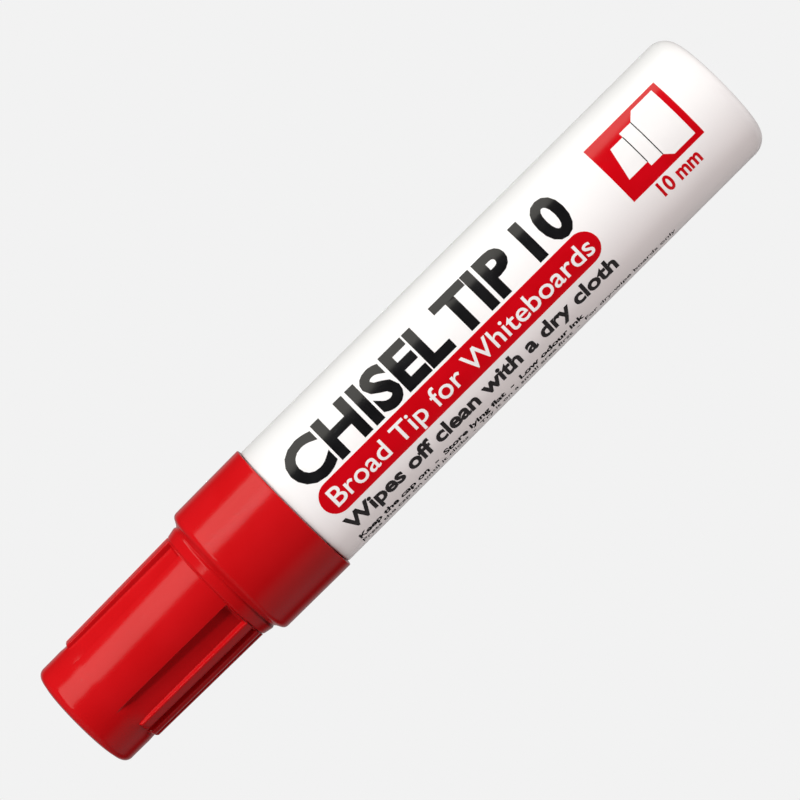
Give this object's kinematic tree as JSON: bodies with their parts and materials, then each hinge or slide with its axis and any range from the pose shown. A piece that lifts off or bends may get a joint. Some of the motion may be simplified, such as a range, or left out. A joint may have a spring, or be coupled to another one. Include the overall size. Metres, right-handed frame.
{
  "type": "whiteboard marker",
  "caption": "Jumbo whiteboard marker: white round barrel, red pull-off cap with grip ribs, broad chisel felt nib under the cap.",
  "frame": {"origin": "centre of the flat tail face that the marker stands on", "axes": "+Z along the marker from the tail to the nib and the cap's closed end; -Y is the printed front of the barrel; +X completes a right-handed frame"},
  "size_m": [0.0242, 0.0242, 0.1357],
  "materials": {
    "barrel_white": "gloss white moulded polypropylene",
    "nose_white": "satin white moulded polypropylene",
    "nib_felt": "pressed polyester felt soaked in red ink",
    "reservoir_fibre": "polyester fibre bundle soaked in red ink",
    "reservoir_film": "thin clear wrapping film",
    "cap_red": "gloss red moulded polypropylene",
    "seal_milky": "milky natural polyethylene",
    "print_red": "red printing ink on the barrel",
    "print_black": "black printing ink on the barrel"
  },
  "bodies": {
    "marker_body": {"barrel": "barrel_white", "nose": "nose_white", "nib": "nib_felt", "reservoir_fibre": "reservoir_fibre", "reservoir_film": "reservoir_film"},
    "cap": {"cap_shell": "cap_red", "cap_inner_seal": "seal_milky"}
  },
  "joints": [
    {"name": "cap_pull", "type": "slide", "parent": "marker_body", "child": "cap", "axis": [0, 0, 1], "range_m": [0, 0.06]}
  ]
}
